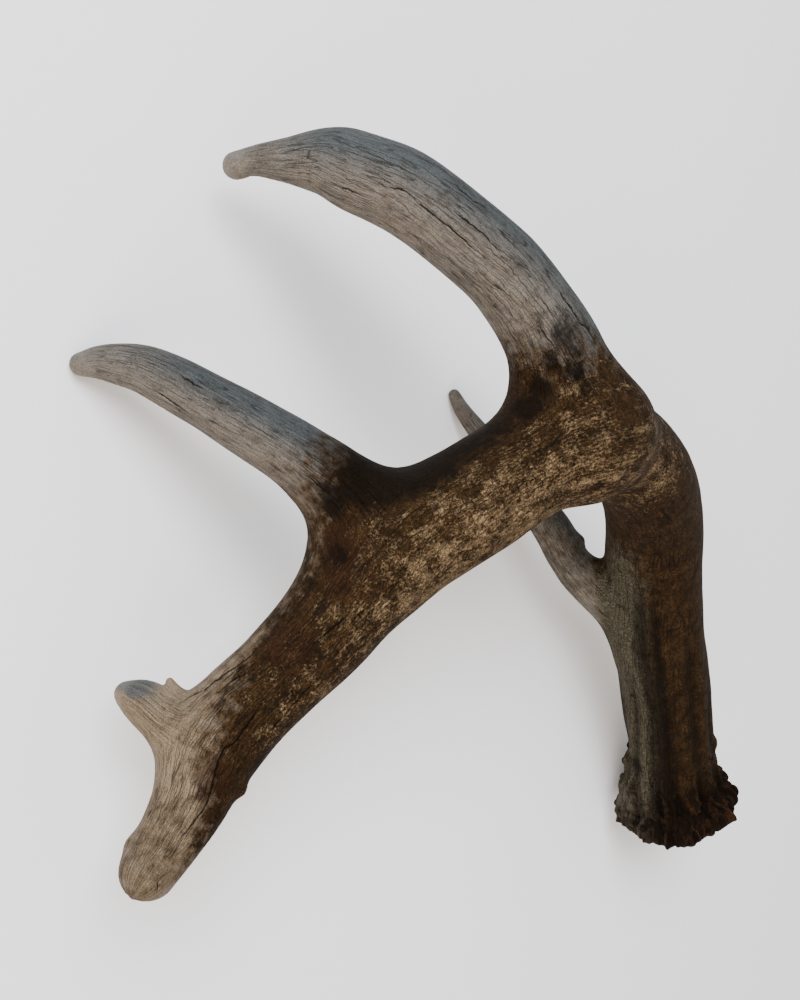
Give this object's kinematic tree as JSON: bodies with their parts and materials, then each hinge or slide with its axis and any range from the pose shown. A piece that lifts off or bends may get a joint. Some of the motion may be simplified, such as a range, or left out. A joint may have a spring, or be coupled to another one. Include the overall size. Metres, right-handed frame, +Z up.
{
  "type": "deer antler",
  "caption": "Shed deer antler with a ragged burr, a bent main beam and tines along its outer side, lying on its burr rim and tine tips.",
  "frame": {"origin": "on the surface that the antler lies on, under the middle of its bounding box", "axes": "+Z up, square to the resting surface; +Y along the antler's length as it lies, from the beam's tip towards the burr; +X away from the second tine"},
  "size_m": [0.2239, 0.2984, 0.0944],
  "materials": {
    "antler_bone": "weathered bone, matt: granular brown stain on the beam, grey-tan tines with fine lengthwise cracks"
  },
  "bodies": {
    "root": {"main_beam": "antler_bone", "brow_tine": "antler_bone", "second_tine": "antler_bone", "third_tine": "antler_bone", "fourth_tine": "antler_bone"}
  },
  "joints": []
}
